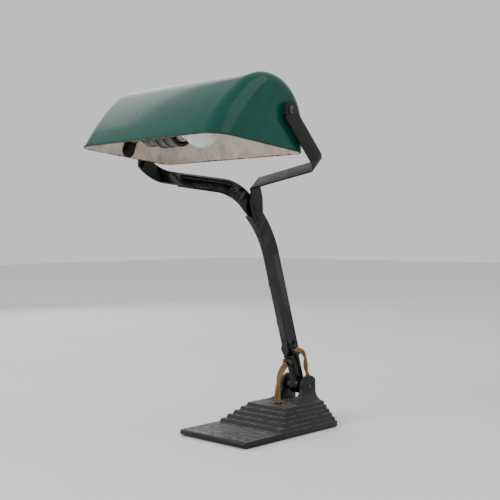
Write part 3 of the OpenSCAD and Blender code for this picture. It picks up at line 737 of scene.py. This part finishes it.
def make_lead(name, route, width, pitch, node):
    """Two braided strands twisted round each other along a route given in millimetres."""
    strand_r = STRAND_SHARE * width
    offset = 0.5 * width - strand_r
    middle, step = evenly(curve_points(route, 8), strand_r * 0.5)
    strands = []
    for phase in (0, math.pi):
        strand = []
        for i, (point, (_, a, b)) in enumerate(zip(middle, frames(middle))):
            turn = phase + 2 * math.pi * i * step / pitch
            strand.append(point + offset * (math.cos(turn) * a + math.sin(turn) * b))
        strands.append(strand)
    vertices, faces, weave = tube_mesh(strands, strand_r, STRAND_SIDES, step)
    mesh = bpy.data.meshes.new(name)
    mesh.from_pydata(vertices, [], faces)
    layer = mesh.uv_layers.new(name="weave")
    layer.data.foreach_set("uv", np.array(weave, np.float32).ravel())
    mesh.update()
    piece = bpy.data.objects.new(name, mesh)
    bpy.context.scene.collection.objects.link(piece)
    for face in mesh.polygons:
        face.use_smooth = len(face.vertices) == 4
    wear(piece, finishes["gold_cloth"])
    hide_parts(node)
    return piece


# Middle lines of the leads in millimetres; the holder's is in the shade's own frame
FRONT_ROUTE = [
    (1, 33, 30), (1, 33, 36), (1, 33, 44), (1, 33.4, 52), (1, 34.6, 60), (0.9, 37, 67.5), (0.6, 41, 74),
    (0.3, 46.2, 79.3), (0.1, 49.6, 81.6), (0, 52.2, 83.2),
]
REAR_ROUTE = [
    (8.2, 61.6, 103.2), (9.6, 61.6, 103.2), (11.3, 61.9, 103.1), (14, 65.2, 102), (15, 70, 98.5),
    (14.6, 74.5, 91.5), (13, 77.5, 83), (11.8, 80, 74), (11.3, 84, 65), (11.2, 87.2, 57), (11, 88, 48),
    (10.6, 85, 40), (10.4, 83, 34.5), (10.4, 83, 30),
]
STEM_ROUTE = [
    (-1, 60.5, 107), (-1, 48.3, 148), (-1, 34, 196), (-1, 23.5, 230), (-1, 9.5, 262.5), (-1.4, -12, 289),
    (-1.4, -21.7, 297.7), (-1.6, -29, 304.4), (-3.4, -37.3, 312), (-10.4, -44, 318.1), (-20.7, -47.6, 321.4),
    (-64, -54.6, 327.8), (-100, -60.5, 333.2), (-108, -61.7, 334.3), (-121.6, -66.5, 338.7),
    (-131.2, -75.3, 346.7), (-134.7, -86.4, 356.8), (-135.4, -89, 370), (-139, -89, 385),
    (-142, -87, 396), (-141, -85.5, 402.5), (-137, -85.5, 403), (-133, -85.5, 403),
]
HOLDER_ROUTE = [
    (-121, 0, 0), (-113, 0, 0), (-105, -3, 2), (-98, -9, 5), (-90, -18, 6), (-82, -24.5, 3.5),
    (-78.5, -26, -1), (-78, -26, -5),
]


# Width of each lead over both strands, and the length in which they turn once round each other
FRONT_LEAD, FRONT_PITCH = 0.0085, 0.085
REAR_LEAD, REAR_PITCH = 0.0065, 0.045
INNER_LEAD, INNER_PITCH = 0.0046, 0.012


def make_leads():
    front = make_lead("front_lead_cloth", FRONT_ROUTE, FRONT_LEAD, FRONT_PITCH, "lead_front")
    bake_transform(front)
    rear = make_lead("rear_lead_cloth", REAR_ROUTE, REAR_LEAD, REAR_PITCH, "lead_rear")
    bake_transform(rear)
    stem_lead = make_lead("stem_lead_cloth", STEM_ROUTE, INNER_LEAD, INNER_PITCH, "lead_stem")
    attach(stem_lead, "arm")
    tilt = Matrix.Translation(PIVOT * 1000) @ Matrix.Rotation(-SHADE_TILT, 4, "X")
    route = [tuple(tilt @ Vector(p)) for p in HOLDER_ROUTE]
    holder_lead = make_lead("holder_lead_cloth", route, INNER_LEAD, INNER_PITCH, "lead_holder")
    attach(holder_lead, "shade")


# ---------------------------------------------------------------- carried-over nodes

# Width of the softened edges in metres, by node
EDGE_WIDTHS = {"base_casting": 0.0006, "stem": 0.0004, "fork_strap": 0.0004, "arm_foot": 0.0008}
USUAL_EDGE = 0.00022
SHARP = math.radians(38)


def dress_nodes():
    """Gives each CAD node its finish and softened edges."""
    slots = {row["node"]: row["material_slot"] for row in frame["record"]["subparts"]}
    for name, node in nodes.items():
        wear(node, finishes[slots[name]])
        if node.hide_render:
            continue
        weld = node.modifiers.new("weld", "WELD")
        weld.merge_threshold = TOUCH
        edge = node.modifiers.new("edge", "BEVEL")
        edge.width = EDGE_WIDTHS.get(name, USUAL_EDGE)
        edge.segments = 2
        edge.limit_method = "ANGLE"
        edge.angle_limit = SHARP
        smooth(node, math.degrees(SHARP))


# ---------------------------------------------------------------- stage

def area_light(name, place, aim, size, power, tint=(1, 1, 1)):
    """Rectangular light at place that faces aim; size in metres, power in watts."""
    data = bpy.data.lights.new(name, "AREA")
    data.shape = "RECTANGLE"
    data.size, data.size_y = size
    data.energy = power
    data.color = tint
    light = bpy.data.objects.new(name, data)
    light.location = place
    light.rotation_euler = (Vector(aim) - Vector(place)).to_track_quat("-Z", "Y").to_euler()
    bpy.context.scene.collection.objects.link(light)


def make_stage():
    deselect()
    bpy.ops.mesh.primitive_plane_add(size=12, location=(0, 0, 0))
    floor = bpy.context.object
    floor.name = "floor"
    wear(floor, material("pale_floor", pale_floor))
    world = bpy.data.worlds.new("studio")
    world.use_nodes = True
    world.node_tree.nodes["Background"].inputs["Color"].default_value = (0.93, 0.935, 0.95, 1)
    world.node_tree.nodes["Background"].inputs["Strength"].default_value = 0.85
    bpy.context.scene.world = world
    aim = (0, -0.05, 0.25)
    area_light("key", (1.5, 0.4, 1.7), aim, (1.8, 1.8), 12, (1, 0.985, 0.96))
    area_light("window", (-0.5, -2.1, 1.5), aim, (1.4, 0.9), 34, (0.97, 0.985, 1))
    area_light("fill", (-1.7, 0.6, 1.0), aim, (1.6, 1.6), 8)


CAMERA_PLACE = (0.8191, -0.8734, 0.2627)
CAMERA_YAW, CAMERA_PITCH, CAMERA_ROLL = -43.756, -1.109, 0.29
CAMERA_LENS, SENSOR = 65.5, 36


def make_camera():
    data = bpy.data.cameras.new("camera")
    data.lens = CAMERA_LENS
    data.sensor_width = SENSOR
    camera = bpy.data.objects.new("camera", data)
    yaw, pitch, roll = (math.radians(a) for a in (CAMERA_YAW, CAMERA_PITCH, CAMERA_ROLL))
    ahead = Vector((math.sin(yaw) * math.cos(pitch), math.cos(yaw) * math.cos(pitch), math.sin(pitch)))
    turn = ahead.to_track_quat("-Z", "Y").to_matrix() @ Matrix.Rotation(-roll, 3, "Z")
    camera.location = CAMERA_PLACE
    camera.rotation_euler = turn.to_euler()
    bpy.context.scene.collection.objects.link(camera)
    bpy.context.scene.camera = camera


make_camera()
make_shade()
make_bulb()
make_ridge()
make_leads()
dress_nodes()
make_stage()
